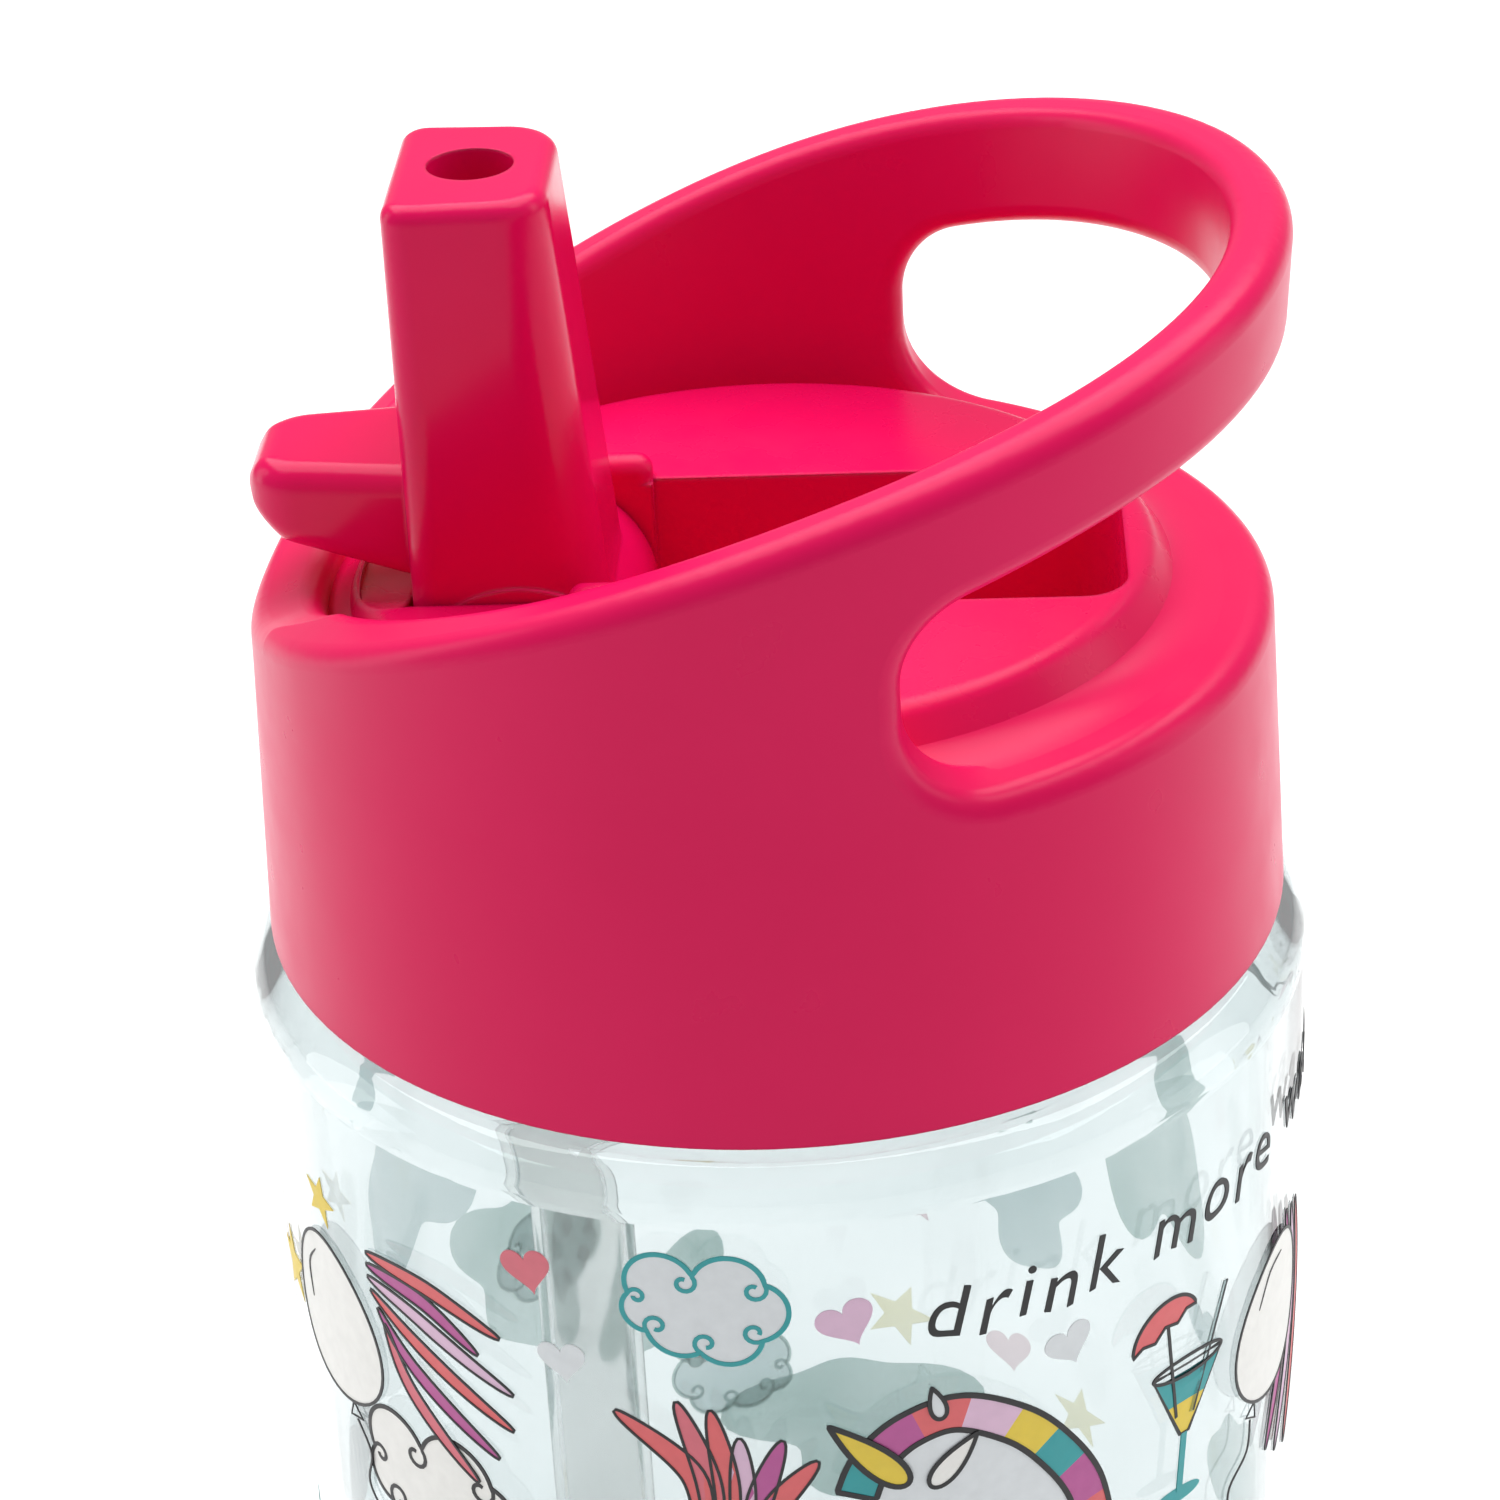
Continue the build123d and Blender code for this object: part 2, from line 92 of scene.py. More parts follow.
def blend_colour(nodes, links, factor, first, second):
    """Mix two colours by a factor output."""
    mix = nodes.new("ShaderNodeMix")
    mix.data_type = "RGBA"
    mix.inputs["A"].default_value = (*first, 1)
    mix.inputs["B"].default_value = (*second, 1)
    links.new(factor, mix.inputs["Factor"])
    return mix.outputs["Result"]


def bump(nodes, links, factor, height_mm, strength=1.0, before=None):
    """A bump of height_mm from a factor output, on top of an earlier bump."""
    node = nodes.new("ShaderNodeBump")
    node.inputs["Strength"].default_value = strength
    node.inputs["Distance"].default_value = height_mm * MM
    links.new(factor, node.inputs["Height"])
    if before is not None:
        links.new(before, node.inputs["Normal"])
    return node.outputs["Normal"]


# ------------------------------------------------------------------ materials
PINK_DEEP = (0.73, 0.0022, 0.090)
PINK_BRIGHT = (0.78, 0.0030, 0.104)
PLASTIC_IOR = 1.49
SWIRL_SCALE = 45        # cells per metre of the swirls of pigment
WEAR_SCALE = 220        # of the uneven gloss
SINK_SCALE = 55         # of the sink marks
SINK_MM = 0.03
SKIN_SCALE = 420        # of the moulded skin


def moulded_plastic(name, gloss, grain_mm, edge_mm):
    """Pink moulded plastic: slow swirls of pigment, uneven gloss, slight sink marks and broken edges."""
    material, nodes, links, shader = new_material(name)
    pigment = spread(nodes, links, noise(nodes, links, SWIRL_SCALE, 3), 0, 1)
    links.new(blend_colour(nodes, links, pigment, PINK_DEEP, PINK_BRIGHT), shader.inputs["Base Color"])
    wear = noise(nodes, links, WEAR_SCALE, 4)
    links.new(spread(nodes, links, wear, gloss - 0.035, gloss + 0.045), shader.inputs["Roughness"])
    edges = nodes.new("ShaderNodeBevel")
    edges.samples = 4
    edges.inputs["Radius"].default_value = edge_mm * MM
    dents = noise(nodes, links, SINK_SCALE, 1)
    sink = bump(nodes, links, dents, SINK_MM, 0.4, before=edges.outputs["Normal"])
    skin = bump(nodes, links, noise(nodes, links, SKIN_SCALE, 1), grain_mm, 0.25, before=sink)
    links.new(skin, shader.inputs["Normal"])
    shader.inputs["IOR"].default_value = PLASTIC_IOR
    shader.inputs["Specular IOR Level"].default_value = 0.2
    return material


def clear_plastic():
    """Clear bottle wall: a trace of aqua, a little waviness from moulding and fine hazy patches."""
    material, nodes, links, shader = new_material("clear_plastic")
    tint = spread(nodes, links, noise(nodes, links, 30, 2), 0, 1)
    colour = blend_colour(nodes, links, tint, (0.71, 0.765, 0.77), (0.82, 0.86, 0.865))
    links.new(colour, shader.inputs["Base Color"])
    haze = noise(nodes, links, 160, 4)
    links.new(spread(nodes, links, haze, 0.0, 0.03), shader.inputs["Roughness"])
    waves = bump(nodes, links, noise(nodes, links, 42, 1, (1, 1, 0.35)), 0.5, 0.35)
    links.new(waves, shader.inputs["Normal"])
    shader.inputs["Transmission Weight"].default_value = 1.0
    shader.inputs["IOR"].default_value = 1.5
    return material


def milky_plastic(name, colour, clearness, gloss, ior=1.45):
    """Translucent, slightly cloudy plastic or silicone."""
    material, nodes, links, shader = new_material(name)
    cloud = spread(nodes, links, noise(nodes, links, 130, 3), 0, 1)
    paler = tuple(min(1.0, c * 1.06) for c in colour)
    links.new(blend_colour(nodes, links, cloud, colour, paler), shader.inputs["Base Color"])
    wear = noise(nodes, links, 300, 3)
    links.new(spread(nodes, links, wear, gloss, gloss + 0.1), shader.inputs["Roughness"])
    links.new(bump(nodes, links, noise(nodes, links, 1800, 2), 0.01, 0.5), shader.inputs["Normal"])
    shader.inputs["Transmission Weight"].default_value = clearness
    shader.inputs["IOR"].default_value = ior
    return material


def wash(name, colour):
    """Thin see-through ink, like watercolour, that lets most light by and only tints it."""
    material, nodes, links, shader = new_material(f"ink_{name}")
    pool = spread(nodes, links, noise(nodes, links, 70, 4), 0, 1)
    fainter = tuple(0.45 + 0.55 * c for c in colour)
    links.new(blend_colour(nodes, links, pool, colour, fainter), shader.inputs["Base Color"])
    links.new(spread(nodes, links, noise(nodes, links, 400, 3), 0.10, 0.25), shader.inputs["Roughness"])
    shader.inputs["Transmission Weight"].default_value = 0.92
    shader.inputs["IOR"].default_value = 1.12
    return material


def ink(name, colour):
    """Screen-printed ink: faint mottling of its colour and a slightly rough, raised film."""
    material, nodes, links, shader = new_material(f"ink_{name}")
    mottle = spread(nodes, links, noise(nodes, links, 900, 3), 0, 1)
    denser = tuple(c * 0.93 for c in colour)
    links.new(blend_colour(nodes, links, mottle, denser, colour), shader.inputs["Base Color"])
    links.new(spread(nodes, links, noise(nodes, links, 1500, 2), 0.38, 0.52), shader.inputs["Roughness"])
    links.new(bump(nodes, links, noise(nodes, links, 3000, 2), 0.006, 0.6), shader.inputs["Normal"])
    return material


INKS = {
    "black": (0.012, 0.012, 0.014),
    "coral": (0.82, 0.145, 0.155),
    "rose": (0.76, 0.17, 0.22),
    "magenta": (0.54, 0.10, 0.34),
    "lilac": (0.80, 0.54, 0.72),
    "teal": (0.024, 0.37, 0.39),
    "yellow": (0.86, 0.64, 0.055),
    "grey": (0.80, 0.84, 0.865),
    "cream": (0.95, 0.945, 0.91),
}
INK_MATERIALS = {name: ink(name, colour) for name, colour in INKS.items()}
INK_MATERIALS["sea"] = wash("sea", (0.41, 0.55, 0.52))
INK_MATERIALS["mist"] = wash("mist", (0.52, 0.63, 0.63))
INK_MATERIALS["blush"] = wash("blush", (0.86, 0.66, 0.70))
INK_MATERIALS["sun"] = wash("sun", (0.88, 0.82, 0.56))


def dress(node, material):
    """Give a CAD node a material in every slot of its mesh."""
    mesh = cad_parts[node].data
    mesh.materials.clear()
    mesh.materials.append(material)


satin_pink = moulded_plastic("lid_pink", gloss=0.30, grain_mm=0.006, edge_mm=0.25)
dress("lid_shell", satin_pink)
dress("lid_deck", moulded_plastic("deck_pink", gloss=0.27, grain_mm=0.005, edge_mm=0.6))
dress("spout", moulded_plastic("spout_pink", gloss=0.17, grain_mm=0.002, edge_mm=0.4))
dress("bottle_body", clear_plastic())
dress("straw", milky_plastic("straw_plastic", (0.95, 0.96, 0.945), 0.9, 0.1, 1.08))
dress("lid_gasket", milky_plastic("silicone", (0.78, 0.80, 0.80), 0.35, 0.38))
pink_silicone = milky_plastic("pink_silicone", (0.70, 0.006, 0.098), 0.0, 0.4)
for part in ("spout_seal", "vent_valve"):
    dress(part, pink_silicone)


# ------------------------------------------------------------------ drawing on the wall
INK_STEP = 1.5          # spacing of the points that make a flat shape follow the wall
FILL_LIFT = (0.02, 0.07)    # inner and outer face of a filled shape, above the wall
LINE_LIFT = (0.03, 0.11)    # the same for a line, which lies on top of the fills
OVERPRINT = 0.07        # how much higher a motif printed over another one lies


def on_wall(s, z, lift):
    """Point of the bottle at arc length s to the right of the front, height z above the rim."""
    angle = s / WALL_R
    r = (WALL_R + lift) * MM
    return (r * math.sin(angle), -r * math.cos(angle), (RIM_Z + z) * MM)


def curve_through(points, closed=False, step=0.5):
    """A smooth line through a few points, as points about step apart."""
    count = len(points)
    line = []
    for i in range(count if closed else count - 1):
        p0 = points[(i - 1) % count] if closed or i > 0 else points[i]
        p1 = points[i]
        p2 = points[(i + 1) % count]
        p3 = points[(i + 2) % count] if closed or i + 2 < count else p2
        pieces = max(2, math.ceil(math.dist(p1, p2) / step))
        for k in range(pieces):
            t = k / pieces
            line.append(
                tuple(
                    0.5
                    * (
                        2 * b
                        + (c - a) * t
                        + (2 * a - 5 * b + 4 * c - d) * t * t
                        + (3 * b - a - 3 * c + d) * t**3
                    )
                    for a, b, c, d in zip(p0, p1, p2, p3)
                )
            )
    if not closed:
        line.append(tuple(points[-1]))
    return line


def placed(points, s, z, size=1.0, turn=0.0):
    """Move a drawing to arc length s and height z, scaled and turned anticlockwise by degrees."""
    cos = math.cos(math.radians(turn)) * size
    sin = math.sin(math.radians(turn)) * size
    return [(s + x * cos - y * sin, z + x * sin + y * cos) for x, y in points]


def inside(point, outline):
    """Whether a point lies in a closed outline."""
    x, y = point
    odd = False
    for (x1, y1), (x2, y2) in zip(outline, outline[1:] + outline[:1]):
        if (y1 > y) != (y2 > y) and x < x1 + (y - y1) * (x2 - x1) / (y2 - y1):
            odd = not odd
    return odd


def facing_out(points, triangle):
    """The triangle's corners in the order that faces away from the wall."""
    (ax, ay), (bx, by), (cx, cy) = (points[i] for i in triangle)
    turn = (bx - ax) * (cy - ay) - (by - ay) * (cx - ax)
    return list(triangle) if turn > 0 else list(triangle)[::-1]


def swell(share):
    """Rises from 0 to 1 at the middle and falls back to 0."""
    return max(math.sin(math.pi * share), 0.0) ** 0.75


class Print:
    """One motif of the picture: closed thin shapes in several inks, joined into one mesh."""

    def __init__(self, name, raised=0.0):
        self.name = name
        self.raised = raised
        self.verts = []
        self.faces = []
        self.inks = []

    def add(self, faces, colour):
        self.faces += faces
        self.inks += [colour] * len(faces)

    def plate(self, points, triangles, colour, lift):
        """A closed plate from flat triangles, wrapped round the wall."""
        base = len(self.verts)
        count = len(points)
        low, high = (height + self.raised for height in lift)
        self.verts += [on_wall(*p, high) for p in points] + [on_wall(*p, low) for p in points]
        edges = {(a, b) for t in triangles for a, b in zip(t, t[1:] + t[:1])}
        rim = [(a, b) for a, b in edges if (b, a) not in edges]
        top = [tuple(base + i for i in t) for t in triangles]
        under = [tuple(base + count + i for i in reversed(t)) for t in triangles]
        walls = [(base + b, base + a, base + count + a, base + count + b) for a, b in sorted(rim)]
        self.add(top + under + walls, colour)

    def fill(self, outline, colour, lift=FILL_LIFT):
        """A filled shape."""
        xs = [p[0] for p in outline]
        ys = [p[1] for p in outline]
        points = [Vector(p) for p in outline]
        for i in range(1, math.ceil((max(xs) - min(xs)) / INK_STEP)):
            for k in range(1, math.ceil((max(ys) - min(ys)) / INK_STEP)):
                p = (min(xs) + i * INK_STEP, min(ys) + k * INK_STEP)
                if inside(p, outline):
                    points.append(Vector(p))
        found = delaunay_2d_cdt(points, [], [list(range(len(outline)))], 1, 1e-5)
        points = [tuple(p) for p in found[0]]
        self.plate(points, [facing_out(points, t) for t in found[2]], colour, lift)

    def line(self, points, width, colour="black", closed=False, taper=False, lift=LINE_LIFT):
        """A pen line along points. A tapered one thins out towards both ends."""
        base = len(self.verts)
        count = len(points)
        for i, (x, y) in enumerate(points):
            before = points[(i - 1) % count] if closed or i > 0 else points[i]
            after = points[(i + 1) % count] if closed or i + 1 < count else points[i]
            run = max(math.dist(before, after), 1e-6)
            share = i / (count - 1)
            w = width / 2 * (0.3 + 0.7 * swell(share) if taper else 1)
            nx, ny = -(after[1] - before[1]) / run * w, (after[0] - before[0]) / run * w
            for side, height in ((1, lift[1]), (-1, lift[1]), (-1, lift[0]), (1, lift[0])):
                self.verts.append(on_wall(x + side * nx, y + side * ny, height + self.raised))
        faces = []
        for i in range(count if closed else count - 1):
            a = base + 4 * i
            b = base + 4 * ((i + 1) % count)
            faces += [(a + k, a + (k + 1) % 4, b + (k + 1) % 4, b + k) for k in range(4)]
        if not closed:
            end = base + 4 * (count - 1)
            faces += [(base + 3, base + 2, base + 1, base), (end, end + 1, end + 2, end + 3)]
        self.add(faces, colour)

    def build(self):
        """Make the object; it rides on the bottle."""
        mesh = bpy.data.meshes.new(self.name)
        mesh.from_pydata(self.verts, [], self.faces)
        used = sorted(set(self.inks))
        for colour in used:
            mesh.materials.append(INK_MATERIALS[colour])
        for polygon, colour in zip(mesh.polygons, self.inks):
            polygon.material_index = used.index(colour)
        mesh.update()
        piece = bpy.data.objects.new(self.name, mesh)
        bpy.context.scene.collection.objects.link(piece)
        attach(piece, "bottle")
        return piece


# ------------------------------------------------------------------ shapes
PUFF_STEP = 0.35        # spacing of the points round a cloud's puffs


def heart_outline():
    """A heart about one unit wide, its point down."""
    turns = [2 * math.pi * k / 48 for k in range(48)]
    return [
        (
            math.sin(t) ** 3 / 2,
            (13 * math.cos(t) - 5 * math.cos(2 * t) - 2 * math.cos(3 * t) - math.cos(4 * t)) / 32
            + 0.05,
        )
        for t in turns
    ]


def star_outline(points=5, waist=0.42):
    """A star of radius one half."""
    corners = []
    for k in range(2 * points):
        r = 0.5 if k % 2 == 0 else 0.5 * waist
        angle = math.pi / 2 + math.pi * k / points
        corners.append((r * math.cos(angle), r * math.sin(angle)))
    line = []
    for a, b in zip(corners, corners[1:] + corners[:1]):
        line += [(a[0] + (b[0] - a[0]) * k / 3, a[1] + (b[1] - a[1]) * k / 3) for k in range(3)]
    return line


def ellipse(rx, ry, count=40):
    turns = [2 * math.pi * k / count for k in range(count)]
    return [(rx * math.cos(t), ry * math.sin(t)) for t in turns]


def puffs_outline(puffs):
    """Outline round a ring of overlapping round puffs (x, y, r), listed anticlockwise."""
    count = len(puffs)
    corners = []
    for i in range(count):
        x1, y1, r1 = puffs[i]
        x2, y2, r2 = puffs[(i + 1) % count]
        apart = math.dist((x1, y1), (x2, y2))
        along = (apart**2 + r1**2 - r2**2) / (2 * apart)
        across = math.sqrt(max(r1**2 - along**2, 0))
        ux, uy = (x2 - x1) / apart, (y2 - y1) / apart
        corners.append((x1 + along * ux + across * uy, y1 + along * uy - across * ux))
    arcs = []
    for i, (x, y, r) in enumerate(puffs):
        start = math.atan2(corners[i - 1][1] - y, corners[i - 1][0] - x)
        end = math.atan2(corners[i][1] - y, corners[i][0] - x)
        sweep = (end - start) % (2 * math.pi)
        steps = max(3, math.ceil(sweep * r / PUFF_STEP))
        turns = [start + sweep * k / steps for k in range(steps)]
        arcs.append([(x + r * math.cos(t), y + r * math.sin(t)) for t in turns])
    return arcs


def curl(x, y, r, start, sweep):
    """A short spiral that starts at radius r round (x, y) and winds in."""
    line = []
    for k in range(15):
        share = k / 14
        angle = math.radians(start + sweep * share)
        reach = r * (1 - 0.62 * share)
        line.append((x + reach * math.cos(angle), y + reach * math.sin(angle)))
    return line


def ribbon_outline(line, width, taper=0.15):
    """A ribbon that swells to width in the middle of a line and narrows to its ends."""
    left, right = [], []
    count = len(line)
    for i, (x, y) in enumerate(line):
        before, after = line[max(i - 1, 0)], line[min(i + 1, count - 1)]
        run = max(math.dist(before, after), 1e-6)
        w = width / 2 * (taper + (1 - taper) * swell(i / (count - 1)))
        nx, ny = -(after[1] - before[1]) / run * w, (after[0] - before[0]) / run * w
        left.append((x + nx, y + ny))
        right.append((x - nx, y - ny))
    return right + left[::-1]


# ------------------------------------------------------------------ motifs
def at(degrees):
    """Arc length of an angle round the bottle, measured to the right of the front."""
    return math.radians(degrees) * WALL_R


def heart(name, degrees, z, size, turn, colour):
    motif = Print(name)
    motif.fill(placed(heart_outline(), at(degrees), z, size, turn), colour)
    return motif.build()


def star(name, degrees, z, size, turn, colour):
    motif = Print(name)
    motif.fill(placed(star_outline(), at(degrees), z, size, turn), colour)
    return motif.build()


CLOUD_PUFFS = [
    (3.1, -0.2, 2.3),
    (1.6, 1.6, 2.4),
    (-2.8, 1.7, 2.3),
    (-3.7, -0.4, 1.7),
    (-1.6, -1.5, 2.3),
    (1.4, -2.0, 2.3),
]
CLOUD_PUFF_R = 2.3      # of a usual puff
CLOUD_CURL_R = 0.8      # of the curl where a puff of that size starts
CLOUD_CURL_LEAN = 25    # degrees


def cloud(name, degrees, z, size, turn=0.0, body="grey", pen="teal"):
    """A cloud whose outline curls in where its puffs meet."""
    motif = Print(name)
    s = at(degrees)
    arcs = puffs_outline(CLOUD_PUFFS)
    outline = placed([p for arc in arcs for p in arc], s, z, size, turn)
    motif.fill(outline, body)
    motif.line(outline, 0.34, pen, closed=True)
    for arc, (x, y, r) in zip(arcs, CLOUD_PUFFS):
        heading = math.degrees(math.atan2(arc[0][1] - y, arc[0][0] - x))
        inner = CLOUD_CURL_R * r / CLOUD_PUFF_R
        lean = heading + CLOUD_CURL_LEAN
        cx = arc[0][0] - inner * math.cos(math.radians(lean))
        cy = arc[0][1] - inner * math.sin(math.radians(lean))
        motif.line(placed(curl(cx, cy, inner, lean, -330), s, z, size, turn), 0.3, pen)
    return motif.build()


def ribbons(name, strands, width, raised=0.0):
    """Flowing ribbons outlined in black. strands lists (colour, points along the ribbon)."""
    motif = Print(name, raised)
    for colour, points in strands:
        outline = ribbon_outline(curve_through(points, step=0.6), width)
        motif.fill(outline, colour)
        motif.line(outline, 0.2, closed=True)
    return motif.build()


def drop(name, tip, end, width, colour, pen=0.4):
    """A drop with a point at tip and a round end, in a thick outline."""
    motif = Print(name, OVERPRINT)
    length = math.dist(tip, end)
    ux, uy = (end[0] - tip[0]) / length, (end[1] - tip[1]) / length
    outline = []
    for k in range(36):
        t = 2 * math.pi * k / 36
        along = length * (1 - math.cos(t)) / 2
        across = width / 2 * math.sin(t) * math.sin(t / 2)
        outline.append((tip[0] + along * ux - across * uy, tip[1] + along * uy + across * ux))
    motif.fill(outline, colour)
    motif.line(outline, pen, closed=True)
    return motif.build()


def balloon(name, s, z, size, turn):
    """A cream balloon with a knot, a shine line and a waving string."""
    motif = Print(name, 2 * OVERPRINT)
    body = [(x * (1 - 0.16 * y / 1.2), y) for x, y in ellipse(1.05, 1.2, 48)]
    motif.fill(placed(body, s, z, size, turn), "cream")
    motif.line(placed(body, s, z, size, turn), 0.24, closed=True)
    knot = [(-0.16, -1.42), (0.16, -1.42), (0.0, -1.2)]
    motif.line(placed(knot, s, z, size, turn), 0.2, closed=True)
    shine = curve_through([(-0.62, 0.1), (-0.5, 0.62), (-0.15, 0.9)], step=0.12)
    motif.line(placed(shine, s, z, size, turn), 0.2, taper=True)
    string = [(0.0, -1.45), (0.16, -1.9), (-0.1, -2.4), (0.1, -2.9), (-0.05, -3.3)]
    motif.line(placed(curve_through(string, step=0.1), s, z, size, turn), 0.18)
    return motif.build()


ARCH_SPINE = [
    (5.2, -26.5),
    (6.3, -23.9),
    (8.8, -21.7),
    (12.3, -21.1),
    (16.4, -23.4),
    (19.3, -26.7),
    (21.4, -30.5),
    (22.4, -35.0),
]
ARCH_HALF = 1.35        # half the band's width
HILL_FOOT = [(18.0, -36.0), (6.0, -36.0)]
ARCH_STRIPES = ("teal", "magenta", "coral", "lilac", "yellow", "teal", "magenta", "coral")


def striped_arch(name):
    """A rainbow arch cut across into stripes, with a thick outline and a grey hill under it."""
    motif = Print(name)
    spine = curve_through(ARCH_SPINE, step=0.25)
    count = len(spine)

    def across(i, side):
        before, after = spine[max(i - 1, 0)], spine[min(i + 1, count - 1)]
        run = math.dist(before, after)
        nx, ny = -(after[1] - before[1]) / run, (after[0] - before[0]) / run
        return (spine[i][0] + side * ARCH_HALF * nx, spine[i][1] + side * ARCH_HALF * ny)

    hill = [across(i, -1) for i in range(0, count, 2)] + HILL_FOOT
    motif.fill(hill, "grey", (0.01, 0.05))
    for k, colour in enumerate(ARCH_STRIPES):
        first = round(k * (count - 1) / len(ARCH_STRIPES))
        last = round((k + 1) * (count - 1) / len(ARCH_STRIPES))
        upper = [across(i, 1) for i in range(first, last + 1)]
        lower = [across(i, -1) for i in range(first, last + 1)]
        motif.fill(lower + upper[::-1], colour)
    rim = [across(i, 1) for i in range(count)] + [across(i, -1) for i in range(count - 1, -1, -1)]
    motif.line(rim, 0.42, closed=True)
    return motif.build()


def drink(name, s, z, turn):
    """A glass of layered drink with a straw and a paper umbrella."""
    motif = Print(name)

    def at_glass(points):
        return placed(points, s, z, 1, turn)

    middle = [(-1.9, -2.6), (1.9, -2.6)]
    motif.fill(at_glass([*middle, (3.4, -0.2), (-3.4, -0.2)]), "teal")
    motif.fill(at_glass([(-0.45, -5.2), (0.45, -5.2), middle[1], middle[0]]), "yellow")
    motif.line(at_glass([(-3.7, 0.3), (3.7, 0.3), (0.45, -5.2), (-0.45, -5.2)]), 0.28, closed=True)
    motif.line(at_glass([(x, y * 0.5 + 0.3) for x, y in ellipse(3.7, 1.5)]), 0.24, closed=True)
    motif.line(at_glass([(0.0, -5.2), (0.0, -10.0)]), 0.6, "teal")
    motif.fill(at_glass([(x, y - 10.3) for x, y in ellipse(2.3, 0.6)]), "teal")
    motif.line(at_glass([(-1.0, -3.6), (-2.7, 4.4)]), 0.26)
    rays = [math.radians(a) for a in range(8, 173, 6)]
    dome = [(3.4 * math.cos(a), 3.0 * math.sin(a)) for a in rays]
    scallops = [(-2.3, 0.8), (-1.2, 0.3), (0.0, 0.9), (1.2, 0.3), (2.3, 0.8)]
    shade = placed(dome + scallops, -2.7, 3.6, 0.95, 20)
    motif.fill(at_glass(shade), "coral")
    motif.line(at_glass(shade), 0.26, closed=True)
    motif.line(at_glass([(0.6, -3.8), (3.6, 5.2)]), 0.42, "mist")
    motif.line(at_glass([(0.85, -3.8), (3.85, 5.2)]), 0.16)
    return motif.build()


def patch(name, degrees, z, width, height, colour):
    """A loose see-through patch with a wavy edge."""
    motif = Print(name)
    phase = random.uniform(0, 6.3)
    outline = []
    for k in range(56):
        t = 2 * math.pi * k / 56
        wave = 1 + 0.22 * math.sin(3 * t + phase) + 0.12 * math.sin(5 * t + 2 * phase)
        outline.append((width / 2 * wave * math.cos(t), height / 2 * wave * math.sin(t)))
    motif.fill(placed(outline, at(degrees), z, 1, random.uniform(-40, 40)), colour, (0.005, 0.02))
    return motif.build()


def words(name, text, degrees, z, height):
    """A line of generic hand-drawn words round the wall."""
    font = bpy.data.curves.new(name, "FONT")
    font.body = text
    font.size = height
    font.shear = 0.22
    font.space_character = 1.18
    font.offset = -0.004 * height
    font.resolution_u = 5
    carrier = bpy.data.objects.new(name, font)
    bpy.context.scene.collection.objects.link(carrier)
    bpy.context.view_layer.update()
    flat = bpy.data.meshes.new_from_object(carrier)
    bpy.data.objects.remove(carrier)
    s = at(degrees)
    points = [(s + v.co.x, z + v.co.y + 0.3 * math.sin(1.1 * v.co.x)) for v in flat.vertices]
    flat.calc_loop_triangles()
    triangles = [facing_out(points, t.vertices) for t in flat.loop_triangles]
    motif = Print(name)
    motif.plate(points, triangles, "black", LINE_LIFT)
    return motif.build()


star("print_star_left", -70, -24, 6.0, 8, "yellow")
heart("print_heart_coral", -24.8, -10.2, 3.7, 14, "rose")
heart("print_heart_grey", -21.6, -16.9, 3.5, 8, "grey")
cloud("print_cloud", -6.2, -11.1, 1.0)
heart("print_heart_lilac", 8.0, -12.6, 3.9, 22, "lilac")
heart("print_heart_pale", 31.7, -18.4, 3.6, 16, "grey")
words("print_words", "drink more water every day", 15.2, -15.0, 5.9)
star("print_star_small", -57, -13.6, 4.2, -12, "yellow")
balloon("print_balloon_left", -36.0, -23.0, 5.4, 14)
ribbons(
    "print_streamers",
    [
        ("coral", [(-30.5, -14.6), (-24.4, -14.7), (-18.5, -16.4)]),
        ("magenta", [(-30.6, -15.6), (-25.0, -16.0), (-20.4, -18.4)]),
        ("lilac", [(-30.6, -16.6), (-25.6, -17.6), (-17.8, -20.8)]),
        ("coral", [(-30.4, -17.6), (-26.4, -19.6), (-18.0, -23.8)]),
        ("magenta", [(-29.8, -18.8), (-26.6, -22.0), (-19.4, -26.6)]),
        ("rose", [(-29.2, -19.8), (-27.0, -24.2), (-21.4, -29.4)]),
    ],
    1.25,
    OVERPRINT,
)
cloud("print_cloud_cream", -40, -32.5, 1.35, 4, "cream", "black")
ribbons(
    "print_plume",
    [
        ("coral", [(-5.0, -31.0), (-5.4, -24.6), (-10.4, -20.0)]),
        ("rose", [(-4.2, -31.0), (-4.4, -25.0), (-6.2, -18.7)]),
        ("coral", [(-3.4, -31.0), (-3.2, -25.4), (-4.0, -19.2)]),
        ("lilac", [(-2.6, -31.0), (-2.2, -26.4), (-2.2, -21.4)]),
        ("magenta", [(-1.8, -31.0), (-1.2, -26.8), (0.6, -21.6)]),
        ("coral", [(-1.0, -31.0), (-0.2, -27.2), (2.8, -23.4)]),
    ],
    1.7,
)
striped_arch("print_arch")
drop("print_drop_yellow", (3.6, -20.6), (8.6, -26.0), 2.7, "yellow")
drop("print_drop_pale", (13.4, -23.0), (10.2, -26.6), 2.2, "cream", 0.3)
drop("print_drop_grey", (10.4, -18.6), (11.0, -21.2), 1.4, "grey", 0.3)
drink("print_drink", 31.0, -25.6, -6)
balloon("print_balloon_right", 42.5, -28.5, 5.2, -30)
ribbons(
    "print_streamers_right",
    [
        ("magenta", [(46.0, -22.0), (46.5, -30.0), (42.0, -40.0)]),
        ("lilac", [(47.6, -22.5), (48.4, -31.0), (44.0, -41.5)]),
        ("coral", [(49.2, -23.0), (50.4, -31.5), (46.4, -42.5)]),
    ],
    1.5,
)

